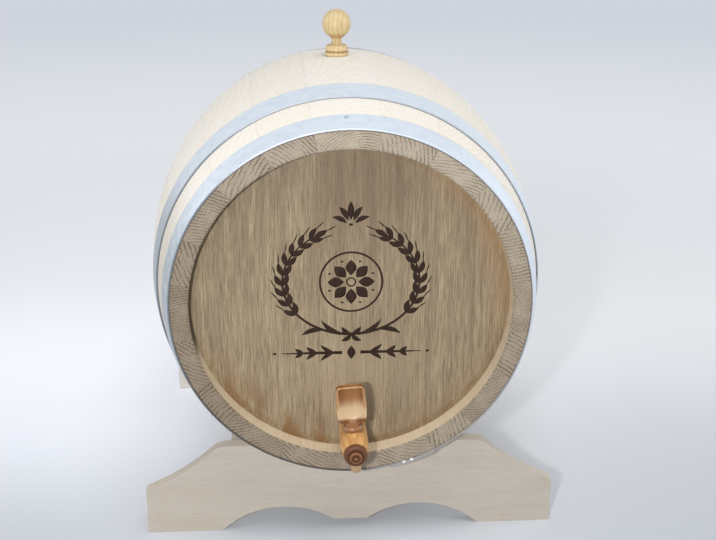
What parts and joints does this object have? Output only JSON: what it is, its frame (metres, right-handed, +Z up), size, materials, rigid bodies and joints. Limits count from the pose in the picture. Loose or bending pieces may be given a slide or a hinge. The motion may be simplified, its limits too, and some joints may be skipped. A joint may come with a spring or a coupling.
{
  "type": "oak cask drink dispenser",
  "caption": "Small oak cask lying in a two-board cradle, with steel hoops, a turned wooden tap low in its front head and a ball-knobbed bung on top.",
  "frame": {"origin": "on the table, under the middle of the whole object's box", "axes": "+Z up, -Y towards the drinker, where the tap points, +X to the right seen from the tap"},
  "size_m": [0.283, 0.332, 0.3455],
  "materials": {
    "stave_oak": "pale sanded oak, satin, brown aged end grain at the chimes",
    "head_oak": "aged brown oak boards with vertical grain and a burnt-in ornament",
    "hoop_steel": "galvanised strip steel, pale blue grey, soft sheen",
    "fastener_steel": "plain steel rivets and nails",
    "tap_wood": "turned brown hardwood, oiled",
    "key_wood": "turned and carved brown hardwood, oiled",
    "cork": "plain cork",
    "bung_wood": "turned pale softwood, satin",
    "cradle_wood": "planed pale beech board",
    "dowel_wood": "plain beech dowel"
  },
  "bodies": {
    "cradle": {"cradle_front_board": "cradle_wood", "cradle_rear_board": "cradle_wood", "cradle_left_rail": "cradle_wood", "cradle_right_rail": "cradle_wood", "cradle_dowels": "dowel_wood"},
    "cask": {"stave_01": "stave_oak", "stave_02": "stave_oak", "stave_03": "stave_oak", "stave_04": "stave_oak", "stave_05": "stave_oak", "stave_06": "stave_oak", "stave_07": "stave_oak", "stave_08": "stave_oak", "stave_09": "stave_oak", "stave_10": "stave_oak", "stave_11": "stave_oak", "stave_12": "stave_oak", "stave_13": "stave_oak", "stave_14": "stave_oak", "stave_15": "stave_oak", "stave_16": "stave_oak", "stave_17": "stave_oak", "stave_18": "stave_oak", "stave_19": "stave_oak", "stave_20": "stave_oak", "front_head_board_1": "head_oak", "front_head_board_2": "head_oak", "front_head_board_3": "head_oak", "front_head_board_4": "head_oak", "front_head_board_5": "head_oak", "rear_head_board_1": "head_oak", "rear_head_board_2": "head_oak", "rear_head_board_3": "head_oak", "rear_head_board_4": "head_oak", "rear_head_board_5": "head_oak", "front_head_dowels": "dowel_wood", "rear_head_dowels": "dowel_wood", "front_chime_hoop": "hoop_steel", "front_quarter_hoop": "hoop_steel", "rear_quarter_hoop": "hoop_steel", "rear_chime_hoop": "hoop_steel", "hoop_rivets": "fastener_steel", "hoop_nails": "fastener_steel", "tap_body": "tap_wood", "tap_cork_sleeve": "cork"},
    "tap_key": {"tap_key": "key_wood"},
    "bung": {"bung": "bung_wood"}
  },
  "joints": [
    {"name": "cask_lift", "type": "slide", "parent": "cradle", "child": "cask", "axis": [0, 0, 1], "range_m": [0, 0.12]},
    {"name": "key_turn", "type": "hinge", "parent": "cask", "child": "tap_key", "pos_m": [0, -0.142, 0.091], "axis": [-0.0698, 0, 0.9976], "continuous": true},
    {"name": "bung_pull", "type": "slide", "parent": "cask", "child": "bung", "axis": [0, 0, 1], "range_m": [0, 0.06]}
  ]
}
